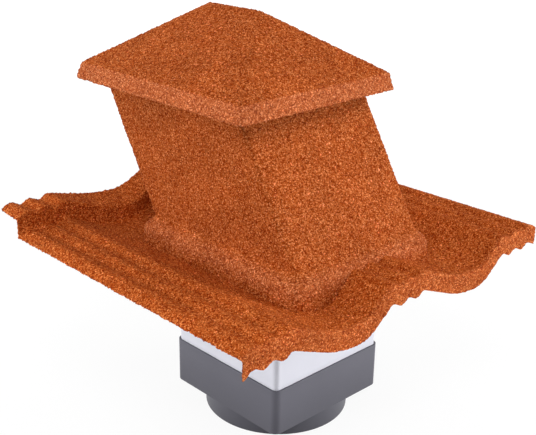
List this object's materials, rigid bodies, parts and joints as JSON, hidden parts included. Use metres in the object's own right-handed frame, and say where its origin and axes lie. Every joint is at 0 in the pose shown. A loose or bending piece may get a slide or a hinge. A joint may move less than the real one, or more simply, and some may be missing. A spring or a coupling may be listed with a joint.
{
  "type": "roof tile vent",
  "caption": "Pressed wave-pattern roof tile with a leaning hood and hipped rain cap, and a square duct below that ends in a round pipe spigot, for exhausting air through a pitched roof.",
  "frame": {"origin": "centre of the round spigot's lower end", "axes": "+Z along the spigot's axis, square to the tile and away from the roof; +Y up the roof's slope; +X across the roof"},
  "size_m": [0.4348, 0.389, 0.4342],
  "materials": {
    "stone_coat": "rough orange stone granules on sheet steel",
    "white_plastic": "smooth white, satin",
    "grey_plastic": "smooth grey, satin",
    "zinc_steel": "bare galvanised sheet",
    "rivet_metal": "bare"
  },
  "bodies": {
    "root": {"base_tile": "stone_coat", "hood_body": "stone_coat", "rain_cap": "stone_coat", "duct_curb": "zinc_steel", "inner_duct": "white_plastic", "duct_rivets": "rivet_metal", "pipe_adapter": "grey_plastic", "cap_strap_front_left": "zinc_steel", "cap_strap_front_right": "zinc_steel", "cap_strap_rear_left": "zinc_steel", "cap_strap_rear_right": "zinc_steel"}
  },
  "joints": []
}
